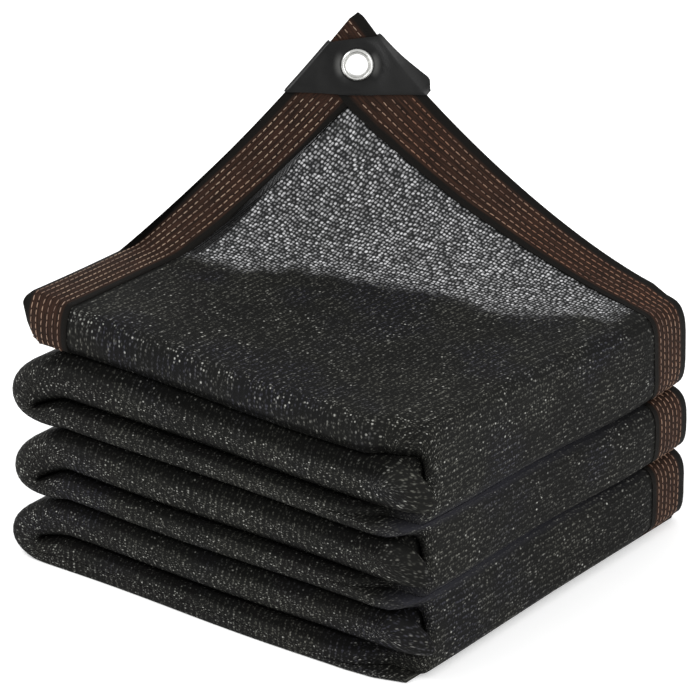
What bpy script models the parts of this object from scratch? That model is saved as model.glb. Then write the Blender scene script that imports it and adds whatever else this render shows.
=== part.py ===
"""Folded shade cloth: a knitted sun screen folded back and forth into a stack, its finished corner drawn up.
Units are metres, +Z is up, and the stack stands on Z = 0. The front face is at low Y, the folded right face at high X.
All shapes are worked out in millimetres and written to the meshes in metres.
The cloth is one length. Its solid is parted in two where the second ply lies hidden, so that the top ply with its
drawn-up corner and the block of folds below it each keep a simple form."""

import math

import bmesh
import bpy
from mathutils import Vector

MM = 0.001
SEAM_GAP = 0.3
STACK_DEPTH = 319.0
BAND_WIDTH = 38.0
END_OUT = 10.0
SETTLE = 0.12
TOP_HEIGHT = 203.0
TOP_FALL = 5.0
BAND_FALL = 4.0
BAND_FALL_TO = 40.0
END_ROUND_FROM = 4.4
END_ROUND_LOW = 0.7
END_ROUND_HIGH = 0.12
TIP_BLUNT = 6.0
TIP_LEFT = 4.8
LEFT_TURN = 25.0
RIGHT_TURN = 290.0
PEAK = Vector((63.5, 284.0, 333.0))
LEFT_RISE = 0.0066
FAR_RISE = 0.0047
SHEET = 2.2
SINGLE_BY = 0.2
PATCH_THICK = 1.2
PATCH_CLEAR = 0.8
PATCH_FROM = (22.5, 23.0)
PATCH_TO = (76.0, 60.0)
PATCH_RIGHT_OUT = 4.5
PATCH_RIGHT_PEAK = 0.85
EYELET_AT = (24.4, 18.9)
DROOP = 12.0
DROOP_INNER = 10.5
DROOP_SHARES = (1.0, 1.2, 0.6)
TURNS_IN_FOLD = 4
NOSE_OUT = 33.0
NOSE_DEPTH = (11.0, 19.5)
NOSE_LOW_SIDE = 0.62
NOSE_POINT = 1.5
NEAR_CORNER_BACK = 20.0
NEAR_CORNER_TOP = (279.0, 303.0)
NEAR_CORNER_WRAP = (262.0, 290.0)
LEFT_CORNER_BACK = 2.0
FLOOR_CORNER_BACK = 9.0
FLOOR_CORNER = (280.0, 311.0)
WRAP_FRONT_BACK = 2.5
WRAP_DRAW = 7.0
BACK_BULGE = 3.0
PART_AT = 150.0
PART_GAP = 1.6
EYELET_BORE = 7.2
EYELET_BARREL = 8.1
EYELET_FLANGE = 11.4
HOLE_RADIUS = 8.6
FLOOR_END = 311.0
FLOOR_THINS = 6.6
FLOOR_THINS_FROM = 150.0

# One row per leg of the folded strip, in the order in which it is folded, from the top ply down.
# name, travel along X, underside z, upper side z, how far the underside and the upper side draw back at the front
LEGS = [
    ("top", 1, 166.3, 196.0, 7.0, 10.0),
    ("wrap_a", -1, 117.6, 127.7, 0.0, 8.0),
    ("roll_2b", 1, 128.3, 146.7, 14.0, 0.0),
    ("roll_2a", -1, 147.3, 165.7, 0.0, 14.0),
    ("under_a", 1, 107.5, 117.0, 8.0, 0.0),
    ("wrap_b", -1, 63.2, 73.3, 0.0, 8.0),
    ("roll_3b", 1, 73.9, 90.2, 13.0, 0.0),
    ("roll_3a", -1, 90.8, 106.9, 0.0, 13.0),
    ("under_b", 1, 52.6, 62.6, 8.0, 0.0),
    ("wrap_c", -1, 10.2, 22.3, 0.0, 8.0),
    ("roll_4b", 1, 22.9, 37.0, 12.0, 0.0),
    ("roll_4a", -1, 37.6, 52.0, 0.0, 12.0),
    ("floor", 1, 0.0, 9.6, 2.0, 0.0),
]

# One row per turn between two legs: side, outer reach, inner reach, outer roundness, inner roundness
WRAP = (1, 31.4, 21.8, 0.34, 0.62)
NOSE = (1, 21.0, 8.0, 0.62, 1.0)
POCKET = (-1, 29.0, 26.0, 0.6, 0.8)
BULGE = (-1, 49.5, 29.8, 1.1, 0.6)
TURNS = [WRAP, POCKET, NOSE, BULGE] * 3
WRAP_NEAR_ROUND = 0.12
WRAP_NEAR = (20.0, 290.0)
WRAP_SHOULDER = 0.4

TOP_STATIONS = [28.3, 40, 54, 68, 84, 102, 120, 138, 156, 174, 192, 210, 228, 246, 262, 277, 290]
LEG_STATIONS = [0.0, 0.33, 0.67, 1.0]
TURN_STEPS = 7
FRONT_STEPS = 6
DEPTH_STATIONS = [0.04, 0.12, 0.22, 0.31, 0.4, 0.49, 0.58, 0.67, 0.76, 0.84, 0.92, 1.0]
FOLD_DEPTH_STATIONS = [0.05, 0.24, 0.43, 0.62, 0.81, 1.0]
BAND_STATIONS = [0.33, 0.66, 1.0]
CORNER_STATIONS = [-10.0, -8.6, -5.5, 0.0, 7.0, 14.0, 21.0]
END_STATIONS = [-10.0, -8.6, -5.5, 0.0, 9.0, 18.0, 28.0]

# Where the drawn-up corner leaves the stack: angle round the corner from the left edge, distance from the corner
CREASE = [(0, 200), (14.5, 196), (42, 190), (61, 234), (67.3, 280), (75.2, 302), (81.9, 339), (90, 345)]


def smooth(low, high, value):
    t = min(1.0, max(0.0, (value - low) / (high - low)))
    return t * t * (3 - 2 * t)


def crease_distance(angle):
    for (a0, d0), (a1, d1) in zip(CREASE, CREASE[1:]):
        if angle <= a1:
            return d0 + (d1 - d0) * smooth(a0, a1, max(angle, a0))
    return CREASE[-1][1]


def raised(u, v):
    """How far a point of the top ply is past the crease, 0 on it and 1 at the corner."""
    across = u + END_OUT
    along = STACK_DEPTH - v
    distance = math.hypot(across, along)
    if distance < 1e-6:
        return 1.0, 45.0
    angle = min(90.0, max(0.0, math.degrees(math.atan2(across, along))))
    return max(0.0, 1 - distance / crease_distance(angle)), angle


def settle(point):
    """The stack sinks towards its far side, and nothing in it is quite straight."""
    x, y, z = point
    sway = 1.6 * math.sin(x * 0.021 + 0.7) * math.sin(y * 0.017 + 0.4) * z / 200
    lean = 0.9 * math.sin(z * 0.045 + y * 0.012) + 1.2 * math.sin(y * 0.03)
    front = 1.3 * math.sin(x * 0.026 + z * 0.03) * max(0.0, 1 - y / 120)
    z = z * (1 - SETTLE * y / STACK_DEPTH) + sway
    return Vector((x + lean * min(1.0, z / 30), y + front, z))


def top_height(u):
    return TOP_HEIGHT - TOP_FALL * smooth(0, RIGHT_TURN, u) - BAND_FALL * smooth(-END_OUT, BAND_FALL_TO, u)


def blunted(u, v):
    """The same point of the top ply with the tip of the corner turned in a little."""
    from_tip = u + END_OUT + STACK_DEPTH - v
    if from_tip >= TIP_BLUNT:
        return u, v
    inwards = (TIP_LEFT - from_tip * TIP_LEFT / TIP_BLUNT) / 2
    return u + inwards, v - inwards


def top_upper(u, v):
    """The upper surface of the top ply, with the corner drawn up to the peak."""
    flat = settle((u, v, top_height(u)))
    past, angle = raised(u, v)
    if past <= 0:
        return flat
    corner = settle((-END_OUT, STACK_DEPTH, top_height(-END_OUT)))
    turn = math.radians(angle)
    power = crease_distance(angle) * (LEFT_RISE * math.cos(turn) + FAR_RISE * math.sin(turn))
    return flat + (PEAK - corner) * past**power


def top_normal(u, v):
    step = 1.0
    along_u = top_upper(u + step, v) - top_upper(u - step, v)
    along_v = top_upper(u, v + step) - top_upper(u, v - step)
    return along_u.cross(along_v).normalized()


def top_pair(u, v):
    """Upper and lower point of the top ply. It thins to a single sheet where it leaves the stack."""
    upper = top_upper(u, v)
    under = settle((u, v, LEGS[0][2]))
    past = raised(u, v)[0]
    single = smooth(0.0, SINGLE_BY, past)
    if single <= 0:
        return upper, under
    free = upper - SHEET * top_normal(u, v)
    return upper, under.lerp(free, single) if single < 1 else free


def round_end(upper, lower, u):
    """The cut end of the top ply is rounded over its thickness, most of it from below."""
    down = lower - upper
    padding = down.length - SHEET
    if u >= END_ROUND_FROM or padding <= 0:
        return upper, lower
    past = (END_ROUND_FROM - u) / (END_ROUND_FROM + END_OUT)
    taken = down.normalized() * padding * (1 - math.sqrt(max(0.0, 1 - past * past)))
    return upper + taken * END_ROUND_HIGH, lower - taken * END_ROUND_LOW


def top_front(u):
    """The front edge of the top ply, drawn back where it turns down at the near corner."""
    return NEAR_CORNER_BACK * smooth(*NEAR_CORNER_TOP, u) + LEFT_CORNER_BACK * smooth(-END_OUT / 2, END_OUT, -u)


def leg_heights(index, x):
    low, high = LEGS[index][2:4]
    thinner = FLOOR_THINS * smooth(FLOOR_THINS_FROM, RIGHT_TURN, x)
    if LEGS[index][0] == "wrap_c":
        low -= thinner
    if LEGS[index][0] == "floor":
        high -= thinner
    return low, high


def superellipse(turn, which, phi, y):
    """Reach and height of a turn's outline. The wraps are flatter towards the front, where one runs into the next."""
    reach = turn[1 + which]
    power = turn[3 + which]
    shoulder = 0.5 + 0.4 * power
    if turn is WRAP and which == 0:
        power = WRAP_NEAR_ROUND + (power - WRAP_NEAR_ROUND) * smooth(*WRAP_NEAR, y)
        shoulder = WRAP_SHOULDER
    sine = max(0.0, math.sin(phi))
    cosine = math.cos(phi)
    return reach * sine**power, math.copysign(abs(cosine) ** shoulder, cosine)


def leg_ring(index, x):
    """Left-hand and right-hand side of the strip at a station of a leg, seen in the direction of travel."""
    way = LEGS[index][1]
    back_low, back_high = LEGS[index][4:6]

    def sides(y):
        if index == 0:
            return round_end(*top_pair(*blunted(x, y)), x)
        low, high = leg_heights(index, x)
        pair = settle((x, y, high)), settle((x, y, low))
        return pair if way > 0 else pair[::-1]

    draw = (back_high, back_low) if way > 0 else (back_low, back_high)
    front = top_front(x) if index == 0 else 0.0
    if LEGS[index][0].startswith("wrap"):
        front = NEAR_CORNER_BACK * smooth(*NEAR_CORNER_WRAP, x)
    if LEGS[index][0] == "floor":
        front = FLOOR_CORNER_BACK * smooth(*FLOOR_CORNER, x)
    return sides, draw, front


def turn_ring(index, phi):
    """The same for a step of the turn between leg index and the next one."""
    turn = TURNS[index]
    side = turn[0]
    start = RIGHT_TURN if side > 0 else LEFT_TURN
    share = (1 - math.cos(phi)) / 2
    before = leg_heights(index, start)
    after = leg_heights(index + 1, start)
    if index == 0:
        before = (LEGS[0][2], top_height(start))
    falling = before[0] > after[0]
    outer = (before[1], after[0]) if falling else (before[0], after[1])
    inner = (before[0], after[1]) if falling else (before[1], after[0])
    droop = DROOP_SHARES[index // TURNS_IN_FOLD]

    def at(which, ends, y):
        reach, cosine = superellipse(turn, which, phi, y)
        if turn is NOSE and which == 0:
            low_side = NOSE_LOW_SIDE + (1 - NOSE_LOW_SIDE) * cosine
            reach += NOSE_OUT * (1 - smooth(*NOSE_DEPTH, y)) * max(0.0, math.sin(phi)) ** NOSE_POINT * low_side
        middle = (ends[0] + ends[1]) / 2
        if side < 0:
            fall = DROOP if which == 0 and turn is BULGE else DROOP_INNER
            middle -= droop * fall * max(0.0, math.sin(phi))
        height = max(0.0, middle + (ends[0] - ends[1]) / 2 * cosine)
        return settle((start + side * reach, y, height))

    clockwise = (side > 0) == falling

    def sides(y):
        pair = at(0, outer, y), at(1, inner, y)
        return pair if clockwise else pair[::-1]

    first = leg_ring(index, start)
    last = leg_ring(index + 1, start)
    draw = [a + (b - a) * share for a, b in zip(first[1], last[1])]
    front = first[2] + (last[2] - first[2]) * smooth(0, 0.75, phi)
    if side > 0 and turn is not NOSE:
        front += WRAP_FRONT_BACK * math.sin(phi)
        draw[0] += WRAP_DRAW * math.sin(phi)
    return sides, draw, front


def strip_rings(first_stations):
    """Every ring of the folded strip, from the given stations of the top ply to the end on the floor."""
    rings = [leg_ring(0, u) for u in first_stations]
    for index in range(1, len(LEGS)):
        for step in range(1, TURN_STEPS):
            rings.append(turn_ring(index - 1, math.pi * step / TURN_STEPS))
        start, end = (RIGHT_TURN, LEFT_TURN) if LEGS[index][1] < 0 else (LEFT_TURN, RIGHT_TURN)
        if LEGS[index][0] == "floor":
            end = FLOOR_END
        for share in LEG_STATIONS:
            rings.append(leg_ring(index, start + (end - start) * share))
    return rings


def parted(rings):
    """The rings of the top ply, down to the middle of the ply that it wraps under, and those of all the folds below."""
    count = len(TOP_STATIONS) + TURN_STEPS - 1 + len(LEG_STATIONS) // 2
    top = rings[:count] + [leg_ring(1, PART_AT + PART_GAP / 2)]
    folds = [leg_ring(1, PART_AT - PART_GAP / 2)] + rings[count:]
    return top, folds


def edge_drop(s):
    return 1 - math.sqrt(max(0.0, 1 - s * s))


def ring_points(ring, low_y, high_y, rounded_front, stations, back_steps):
    """Points once round the strip: across its front, along one face, across its back and along the other."""
    sides, draw, front = ring
    start = front if rounded_front else low_y
    left, right = [], []
    across = []
    steps = FRONT_STEPS if rounded_front else 1
    for step in range(steps + 1):
        w = (1 - math.cos(math.pi * step / steps)) / 2
        y = start + (draw[0] * edge_drop(1 - w) + draw[1] * edge_drop(w)) * rounded_front
        a, b = sides(y)
        across.append(a.lerp(b, w))
    y_left = start + draw[0] * rounded_front
    y_right = start + draw[1] * rounded_front
    for share in stations:
        left.append(sides(y_left + (high_y - y_left) * share)[0])
        right.append(sides(y_right + (high_y - y_right) * share)[1])
    back = []
    if back_steps:
        a, b = sides(high_y)
        thick = (a - b).length
        middle = sides(high_y + min(BACK_BULGE, thick / 4))
        back.append((middle[0] + middle[1]) / 2)
    return across, left, right, back


def mesh_object(name, verts, faces, colour, roughness, metallic):
    mesh = bpy.data.meshes.new(name)
    bm = bmesh.new()
    made = [bm.verts.new(Vector(v) * MM) for v in verts]
    for face in faces:
        bm.faces.new([made[i] for i in face])
    bmesh.ops.recalc_face_normals(bm, faces=bm.faces)
    bmesh.ops.triangulate(bm, faces=bm.faces)
    bm.to_mesh(mesh)
    bm.free()
    obj = bpy.data.objects.new(name, mesh)
    bpy.context.scene.collection.objects.link(obj)
    material = bpy.data.materials.new(name)
    material.use_nodes = True
    shader = material.node_tree.nodes["Principled BSDF"]
    shader.inputs["Base Color"].default_value = (*colour, 1)
    shader.inputs["Roughness"].default_value = roughness
    shader.inputs["Metallic"].default_value = metallic
    mesh.materials.append(material)
    return obj


def strip_object(name, rings, low_y, high_y, rounded_front, stations, back_steps, look):
    verts, faces, loops = [], [], []
    for ring in rings:
        across, left, right, back = ring_points(ring, low_y, high_y, rounded_front, stations, back_steps)
        points = across + right + back + left[::-1]
        loops.append(list(range(len(verts), len(verts) + len(points))))
        verts += points
    count = len(loops[0])
    for a, b in zip(loops, loops[1:]):
        for i in range(count):
            j = (i + 1) % count
            faces.append((a[i], a[j], b[j], b[i]))
    n_across = len(across)
    n_side = len(right)
    for loop, flip in ((loops[0], True), (loops[-1], False)):
        right_i = loop[n_across : n_across + n_side]
        left_i = loop[::-1][:n_side]
        end = [loop[:n_across] + [right_i[0], left_i[0]]]
        end += [[left_i[k], right_i[k], right_i[k + 1], left_i[k + 1]] for k in range(n_side - 1)]
        if back_steps:
            end.append([left_i[-1], right_i[-1], loop[n_across + n_side]])
        faces += [face[::-1] for face in end] if flip else end
    return mesh_object(name, verts, faces, *look)


def patch_object():
    """A vinyl sleeve folded round the corner, crossing it square to its bisector."""
    outer_rows, inner_rows = [], []
    shares = [-1.0, -0.72, -0.4, 0.0, 0.4, 0.72, 1.0]
    rows = 8
    for row in range(rows + 1):
        reach = [a + (b - a) * row / rows for a, b in zip(PATCH_FROM, PATCH_TO)]
        right_out = PATCH_RIGHT_OUT * min(smooth(0, PATCH_RIGHT_PEAK, row / rows), 1.6 - row / rows)
        loops = []
        for extra in (PATCH_CLEAR + PATCH_THICK, PATCH_CLEAR):
            front, back, edges = [], [], []
            for share in shares:
                du = reach[0] * (1 + share) / 2
                dv = reach[1] * (1 - share) / 2
                u = du - END_OUT
                v = STACK_DEPTH - dv
                upper, lower = round_end(*top_pair(u, v), u)
                out = top_normal(u, v)
                front.append(upper + out * extra)
                back.append(lower - out * extra)
                if abs(share) == 1.0:
                    inside = top_pair(u + (1 if share < 0 else 0), v - (1 if share > 0 else 0))
                    middle = (upper + lower) / 2
                    outward = middle - (inside[0] + inside[1]) / 2
                    outward -= outward.dot(out) * out
                    stands_out = right_out if share > 0 else 0.0
                    edges.append(middle + outward.normalized() * (extra + 0.8 + stands_out))
            loops.append([*front, edges[1], *back[::-1], edges[0]])
        outer_rows.append(loops[0])
        inner_rows.append(loops[1])
    verts = [p for row in outer_rows + inner_rows for p in row]
    count = len(outer_rows[0])
    size = count * (rows + 1)
    faces = []
    for row in range(rows):
        for i in range(count):
            j = (i + 1) % count
            a, b = row * count, (row + 1) * count
            faces.append((a + i, a + j, b + j, b + i))
            faces.append((size + a + i, size + b + i, size + b + j, size + a + j))
    for row in (0, rows):
        for i in range(count):
            j = (i + 1) % count
            a = row * count
            faces.append((a + i, size + a + i, size + a + j, a + j))
    return mesh_object("corner_patch", verts, faces, (0.018, 0.018, 0.018), 0.42, 0.0)


def eyelet_frame():
    u = EYELET_AT[0] - END_OUT
    v = STACK_DEPTH - EYELET_AT[1]
    upper, lower = top_pair(u, v)
    return (upper + lower) / 2, top_normal(u, v)


def centre_on_origin(objects):
    """Moves everything so that the middle of the outline stands over the origin."""
    lows, highs = [], []
    for obj in objects:
        if obj.hide_render:
            continue
        lows.append([min(v.co[axis] for v in obj.data.vertices) for axis in (0, 1)])
        highs.append([max(v.co[axis] for v in obj.data.vertices) for axis in (0, 1)])
    middle = [(min(low[axis] for low in lows) + max(high[axis] for high in highs)) / 2 for axis in (0, 1)]
    for obj in objects:
        obj.location -= Vector((middle[0], middle[1], 0))


def turned(name, profile, steps, look):
    """A ring turned round the axis of the eyelet, from radius and height pairs in order round its section."""
    middle, axis = eyelet_frame()
    turn = axis.to_track_quat("Z", "Y")
    verts, faces = [], []
    for step in range(steps):
        angle = 2 * math.pi * step / steps
        for radius, height in profile:
            verts.append(middle + turn @ Vector((radius * math.cos(angle), radius * math.sin(angle), height)))
    count = len(profile)
    for step in range(steps):
        a = step * count
        b = (step + 1) % steps * count
        for i in range(count):
            j = (i + 1) % count
            faces.append((a + i, b + i, b + j, a + j))
    return mesh_object(name, verts, faces, *look)


def eyelet_object():
    face = SHEET / 2 + PATCH_CLEAR + PATCH_THICK + 0.7
    profile = [
        (EYELET_BORE, -face), (EYELET_BORE, face), (EYELET_BORE + 0.5, face + 1.5),
        (EYELET_BORE + 1.7, face + 2.1), (EYELET_FLANGE - 1.4, face + 1.5), (EYELET_FLANGE, face + 0.5),
        (EYELET_FLANGE - 0.3, face), (EYELET_BARREL, face), (EYELET_BARREL, -face),
        (EYELET_FLANGE - 0.3, -face), (EYELET_FLANGE, -face - 0.5), (EYELET_BORE + 1.2, -face - 1.1),
    ]
    return turned("eyelet", profile, 32, ((0.62, 0.62, 0.6), 0.25, 1.0))


def hole_cutter():
    middle, axis = eyelet_frame()
    bpy.ops.mesh.primitive_cylinder_add(vertices=32, radius=HOLE_RADIUS * MM, depth=24 * MM, location=middle * MM)
    cutter = bpy.context.object
    cutter.name = "eyelet_hole_cutter"
    cutter.rotation_mode = "QUATERNION"
    cutter.rotation_quaternion = axis.to_track_quat("Z", "Y")
    cutter.hide_render = True
    cutter.display_type = "WIRE"
    return cutter


def cut(obj, cutter):
    modifier = obj.modifiers.new("eyelet_hole", "BOOLEAN")
    modifier.object = cutter
    modifier.operation = "DIFFERENCE"
    modifier.solver = "EXACT"


def main():
    for obj in list(bpy.data.objects):
        bpy.data.objects.remove(obj, do_unlink=True)
    seam = STACK_DEPTH - BAND_WIDTH
    cloth_look = ((0.022, 0.022, 0.021), 0.8, 0.0)
    band_look = ((0.075, 0.03, 0.02), 0.75, 0.0)
    top, folds = parted(strip_rings(TOP_STATIONS))
    strip_object("cloth_top", top, 0, seam, True, DEPTH_STATIONS, 0, cloth_look)
    strip_object("cloth_folds", folds, 0, seam, True, FOLD_DEPTH_STATIONS, 0, cloth_look)
    end_rings = [leg_ring(0, u) for u in END_STATIONS]
    strip_object("end_band", end_rings, 0, seam, True, DEPTH_STATIONS, 0, band_look)
    band_rings = strip_rings(CORNER_STATIONS + TOP_STATIONS)
    band = strip_object("side_band", band_rings, seam + SEAM_GAP, STACK_DEPTH, False, BAND_STATIONS, 1, band_look)
    patch = patch_object()
    cutter = hole_cutter()
    cut(band, cutter)
    cut(patch, cutter)
    eyelet_object()
    centre_on_origin(list(bpy.data.objects))


main()
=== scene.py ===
# %% [markdown]
# # Folded shade cloth
# A length of black knitted sun screen, folded back and forth into a square stack. Its finished corner is
# drawn up to a peak. Brown stitched tape binds two edges, black vinyl is folded round the corner, and a
# nickel eyelet goes through it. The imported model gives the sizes, and this script makes the fine surface on
# the same folds.

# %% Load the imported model
import math
import random

import bmesh
import bpy
from mathutils import Matrix, Vector


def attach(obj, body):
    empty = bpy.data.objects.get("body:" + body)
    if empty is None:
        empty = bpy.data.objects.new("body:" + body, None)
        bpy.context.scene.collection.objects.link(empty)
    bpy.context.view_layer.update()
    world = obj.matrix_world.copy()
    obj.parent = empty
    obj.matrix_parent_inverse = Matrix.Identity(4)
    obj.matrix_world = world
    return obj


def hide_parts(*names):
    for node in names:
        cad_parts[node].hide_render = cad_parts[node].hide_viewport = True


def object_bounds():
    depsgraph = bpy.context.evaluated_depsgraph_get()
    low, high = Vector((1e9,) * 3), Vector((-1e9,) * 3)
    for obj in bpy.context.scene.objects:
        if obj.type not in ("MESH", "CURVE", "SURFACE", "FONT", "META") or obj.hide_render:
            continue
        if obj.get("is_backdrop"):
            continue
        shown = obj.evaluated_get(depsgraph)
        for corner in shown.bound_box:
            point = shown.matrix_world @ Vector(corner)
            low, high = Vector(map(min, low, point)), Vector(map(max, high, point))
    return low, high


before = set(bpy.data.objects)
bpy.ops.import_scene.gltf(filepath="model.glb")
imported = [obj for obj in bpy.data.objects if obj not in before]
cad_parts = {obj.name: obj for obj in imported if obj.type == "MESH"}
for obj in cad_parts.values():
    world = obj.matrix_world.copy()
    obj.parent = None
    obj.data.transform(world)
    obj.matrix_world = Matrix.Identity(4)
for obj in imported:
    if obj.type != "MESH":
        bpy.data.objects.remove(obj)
cad_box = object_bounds()
bpy.ops.object.select_all(action="DESELECT")
print("CAD box", [round(v, 4) for corner in cad_box for v in corner])

# %% [markdown]
# ## Sizes
# The folds are worked out in millimetres in the maker's own frame: X from the cut end to the folded right
# side, Y from the front to the banded edge. CENTRE then brings the stack over the origin, as in the packed
# model. The tables are short: one row for each leg of the strip and one for each kind of turn between two
# legs.

# %% Sizes and fold tables
MM = 0.001
CENTRE = Vector((154.85, 160.35, 0.0))
STACK_DEPTH = 319.0
BAND_WIDTH = 38.0
END_OUT = 10.0
SEAM = STACK_DEPTH - BAND_WIDTH
SETTLE = 0.12
TOP_HEIGHT = 203.0
TOP_FALL = 5.0
BAND_FALL = 4.0
LEFT_TURN = 25.0
RIGHT_TURN = 290.0
PEAK = Vector((63.5, 284.0, 333.0))
LEFT_RISE = 0.0066
FAR_RISE = 0.0047
SHEET = 2.2
NET_THICK = 1.2
SINGLE_BY = 0.2
FLOOR_END = 311.0
FLOOR_THINS = 6.6
FLOOR_THINS_FROM = 150.0
END_ROUND_FROM = 4.4
END_ROUND_LOW, END_ROUND_HIGH = 0.7, 0.12
TIP_BLUNT, TIP_INWARDS = 6.0, 1.5

# leg: travel along X, underside z, upper side z, how far the underside and the upper side draw back in front
LEGS = [
    ("top", 1, 166.3, 196.0, 7.0, 10.0),
    ("wrap_a", -1, 117.55, 127.7, 0.0, 8.0),
    ("roll_2b", 1, 128.3, 146.95, 14.0, 0.0),
    ("roll_2a", -1, 147.05, 165.7, 0.0, 14.0),
    ("under_a", 1, 107.5, 117.45, 8.0, 0.0),
    ("wrap_b", -1, 63.15, 73.3, 0.0, 8.0),
    ("roll_3b", 1, 73.9, 90.45, 13.0, 0.0),
    ("roll_3a", -1, 90.55, 106.9, 0.0, 13.0),
    ("under_b", 1, 52.6, 63.05, 8.0, 0.0),
    ("wrap_c", -1, 10.2, 22.3, 0.0, 8.0),
    ("roll_4b", 1, 22.9, 37.25, 12.0, 0.0),
    ("roll_4a", -1, 37.35, 52.0, 0.0, 12.0),
    ("floor", 1, 0.0, 9.6, 2.0, 0.0),
]
# kind of turn: side, outer reach, inner reach, outer roundness, inner roundness
WRAP = (1, 31.4, 21.8, 0.34, 0.62)
NOSE = (1, 21.0, 8.0, 0.62, 1.0)
POCKET = (-1, 29.0, 26.0, 0.6, 0.8)
BULGE = (-1, 49.5, 29.3, 1.1, 0.6)
TURNS = [WRAP, POCKET, NOSE, BULGE] * 3
TURNS_IN_FOLD = 4
# a wrap is nearly square at the front and rounder towards the banded edge
WRAP_NEAR_ROUND = 0.12
WRAP_NEAR = (20, 290)
WRAP_FAR = (240, 319)
WRAP_FAR_ROUNDER = 0.08
WRAP_SHOULDER = 0.4
WRAP_FRONT_BACK = 2.5
WRAP_DRAW = 7.0
# the folds at the left hang down a little, most of all the middle one
DROOP, DROOP_INNER = 12.0, 10.5
DROOP_SHARES = (1.0, 1.2, 0.6)
# the front of each roll reaches round the near right corner as a rounded nose
NOSE_OUT = 33.0
NOSE_DEPTH = (11, 19.5)
NOSE_POINT = 1.25
NOSE_MIDDLE, NOSE_TILT = 0.68, 0.28
NEAR_CORNER_BACK = 20.0
NEAR_CORNER_TOP = (279, 303)
NEAR_CORNER_WRAP = (262, RIGHT_TURN)
FLOOR_CORNER_BACK = 9.0
FLOOR_CORNER = (280, FLOOR_END)
LEFT_CORNER_BACK = 2.0
# where the drawn-up corner leaves the stack: distance from its tip, by the angle round it from the left edge
CREASE_ANGLES = (0, 14.5, 42, 61, 67.3, 75.2, 81.9, 90)
CREASE = list(zip(CREASE_ANGLES, (200, 196, 190, 234, 280, 302, 339, 345)))
# the same for how far light comes through from behind
LIGHT_EDGE = list(zip(CREASE_ANGLES, (195, 190, 185, 228, 274, 298, 335, 345)))
print(len(LEGS), "legs and", len(TURNS), "turns, top ply at", TOP_HEIGHT, "mm, peak at", PEAK.z, "mm")

# %% [markdown]
# ## The top ply and its drawn-up corner
# The far left corner of the top ply is drawn up, and the cloth falls away from it in a hollow curve. A
# cloth simulation could drape it, but tapes and patch would then have to be fitted to whatever came out. A
# power curve from a crease line to the peak gives the same hollow, and every piece can lie on it.


# %% The top ply
def smooth(low, high, value):
    t = min(1.0, max(0.0, (value - low) / (high - low)))
    return t * t * (3 - 2 * t)


def by_angle(table, angle):
    for (a0, d0), (a1, d1) in zip(table, table[1:]):
        if angle <= a1:
            return d0 + (d1 - d0) * smooth(a0, a1, max(angle, a0))
    return table[-1][1]


def from_tip(u, v):
    """Distance from the tip of the corner, and the angle round it from the left edge, in degrees."""
    across = u + END_OUT
    along = STACK_DEPTH - v
    angle = min(90.0, max(0.0, math.degrees(math.atan2(across, along))))
    return math.hypot(across, along), angle


def raised(u, v):
    """How far up the drawn-up corner a point of the top ply is, 0 to 1, and its angle."""
    distance, angle = from_tip(u, v)
    if distance < 1e-6:
        return 1.0, 45.0
    return max(0.0, 1 - distance / by_angle(CREASE, angle)), angle


def light_behind(u, v):
    """1 where only one thickness hangs with nothing close behind it, 0 on the stack."""
    distance, angle = from_tip(u, v)
    edge = by_angle(LIGHT_EDGE, angle) + 3.5 * math.sin(angle * 0.31) + 2.0 * math.sin(angle * 0.83)
    return 1 - smooth(-9, 7, distance - edge)


def settle(point):
    """The stack isn't quite square: it sinks by 12 % to the back, and sways and leans a little."""
    x, y, z = point
    sway = 1.6 * math.sin(x * 0.021 + 0.7) * math.sin(y * 0.017 + 0.4) * z / 200
    lean = 0.9 * math.sin(z * 0.045 + y * 0.012) + 1.2 * math.sin(y * 0.03)
    front = 1.3 * math.sin(x * 0.026 + z * 0.03) * max(0.0, 1 - y / 120)
    z = z * (1 - SETTLE * y / STACK_DEPTH) + sway
    return Vector((x + lean * min(1.0, z / 30), y + front, z))


def top_height(u):
    return TOP_HEIGHT - TOP_FALL * smooth(0, RIGHT_TURN, u) - BAND_FALL * smooth(-END_OUT, 40, u)


def blunted(u, v):
    away = u + END_OUT + STACK_DEPTH - v
    if away >= TIP_BLUNT:
        return u, v
    inwards = TIP_INWARDS * (1 - away / TIP_BLUNT)
    return u + inwards, v - inwards


def top_upper(u, v):
    flat = settle((u, v, top_height(u)))
    past, angle = raised(u, v)
    if past <= 0:
        return flat
    corner = settle((-END_OUT, STACK_DEPTH, top_height(-END_OUT)))
    turn = math.radians(angle)
    power = by_angle(CREASE, angle) * (LEFT_RISE * math.cos(turn) + FAR_RISE * math.sin(turn))
    return flat + (PEAK - corner) * past**power


def top_normal(u, v):
    along_u = top_upper(u + 1, v) - top_upper(u - 1, v)
    along_v = top_upper(u, v + 1) - top_upper(u, v - 1)
    return along_u.cross(along_v).normalized()


def top_pair(u, v):
    """Both faces of the top ply: a pressed bundle on the stack, a single sheet where it is drawn up."""
    upper = top_upper(u, v)
    under = settle((u, v, LEGS[0][2]))
    single = smooth(0.0, SINGLE_BY, raised(u, v)[0])
    if single <= 0:
        return upper, under
    free = upper - SHEET * top_normal(u, v)
    return upper, under.lerp(free, single) if single < 1 else free


def round_end(upper, lower, u):
    down = lower - upper
    padding = down.length - SHEET
    if u >= END_ROUND_FROM or padding <= 0:
        return upper, lower
    past = (END_ROUND_FROM - u) / (END_ROUND_FROM + END_OUT)
    taken = down.normalized() * padding * (1 - math.sqrt(max(0.0, 1 - past * past)))
    return upper + taken * END_ROUND_HIGH, lower - taken * END_ROUND_LOW


# %% [markdown]
# ## Legs and turns
# Below the top ply the strip runs back and forth. A ring is one section of it, square to its travel. These
# functions give both faces of the strip at any point of any ring, so that the net and the tapes lie on
# exactly the same folds. Each turn is a power of a sine, which goes from square to round with a single
# number.


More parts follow.
